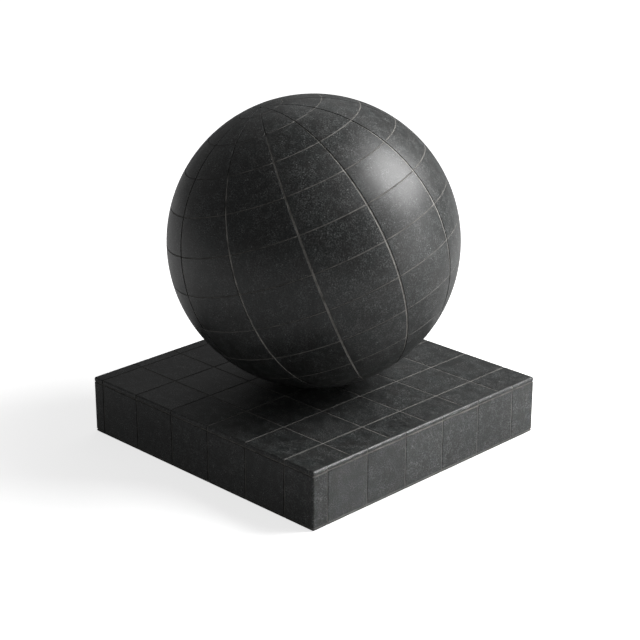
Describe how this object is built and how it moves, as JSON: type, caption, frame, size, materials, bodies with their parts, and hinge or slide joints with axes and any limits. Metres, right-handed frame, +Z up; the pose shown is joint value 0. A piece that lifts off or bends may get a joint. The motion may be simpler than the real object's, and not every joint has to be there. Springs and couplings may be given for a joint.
{
  "type": "floor tile display ball on plinth",
  "caption": "Round ball standing on a low square plinth, both faced with a grid of dark stone-look floor tiles and sunk joints, to show the finish in the round.",
  "frame": {"origin": "middle of the plinth's underside, on the floor", "axes": "+Z up; the plinth's sides are square to X and Y, and the corner between +X and -Y faces the picture's camera"},
  "size_m": [0.6, 0.6, 0.6636],
  "materials": {
    "ball_tile": "satin charcoal stone-look tile with fine pale specks",
    "plinth_tile": "satin charcoal stone-look tile with fine pale specks",
    "joint_grout": "matt cement grout, warm grey"
  },
  "bodies": {
    "root": {"ball": "ball_tile", "plinth": "plinth_tile"}
  },
  "joints": []
}
